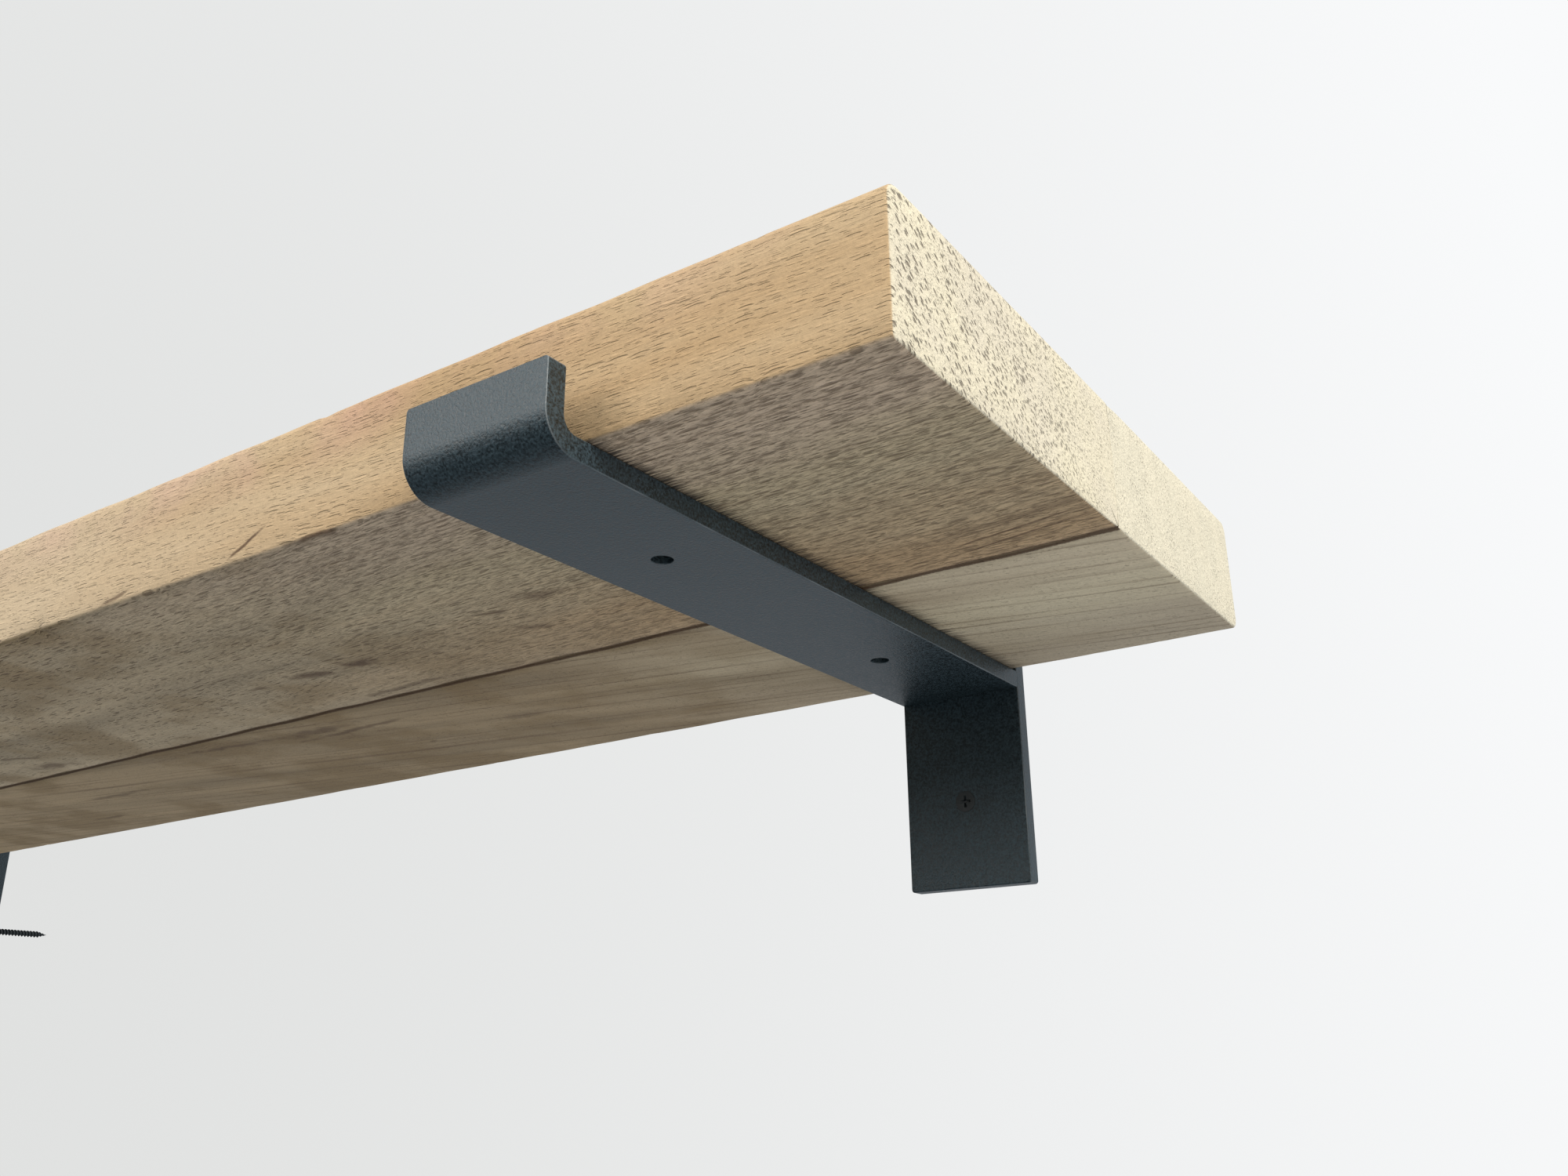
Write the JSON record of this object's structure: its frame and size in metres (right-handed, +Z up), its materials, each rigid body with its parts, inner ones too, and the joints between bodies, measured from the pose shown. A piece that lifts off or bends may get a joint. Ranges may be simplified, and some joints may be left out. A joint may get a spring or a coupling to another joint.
{
  "type": "wall shelf with brackets",
  "caption": "Wall shelf: a thick hardwood board of two edge-glued planks resting on black flat-bar brackets with low front lips, screwed to the wall.",
  "frame": {"origin": "centre of the four wall screws' rectangle, on the wall's surface (the back of the wall plates)", "axes": "+X along the shelf to its right end as seen from the room, +Y into the wall, +Z up"},
  "size_m": [0.9, 0.289, 0.1115],
  "materials": {
    "front_timber": "rough-sawn open-pored hardwood such as oak, unfinished",
    "rear_timber": "planed open-pored hardwood such as oak, unfinished",
    "wood_glue": "dried wood glue, dark in the joint",
    "powder_coat": "satin black powder coat, fine texture",
    "screw_steel": "black phosphated steel"
  },
  "bodies": {
    "root": {"front_plank": "front_timber", "rear_plank": "rear_timber", "glue_line": "wood_glue", "right_bracket_arm": "powder_coat", "right_wall_plate": "powder_coat", "right_weld_bead": "powder_coat", "right_upper_wall_screw": "screw_steel", "right_lower_wall_screw": "screw_steel", "left_bracket_arm": "powder_coat", "left_wall_plate": "powder_coat", "left_weld_bead": "powder_coat", "left_upper_wall_screw": "screw_steel", "left_lower_wall_screw": "screw_steel"}
  },
  "joints": []
}
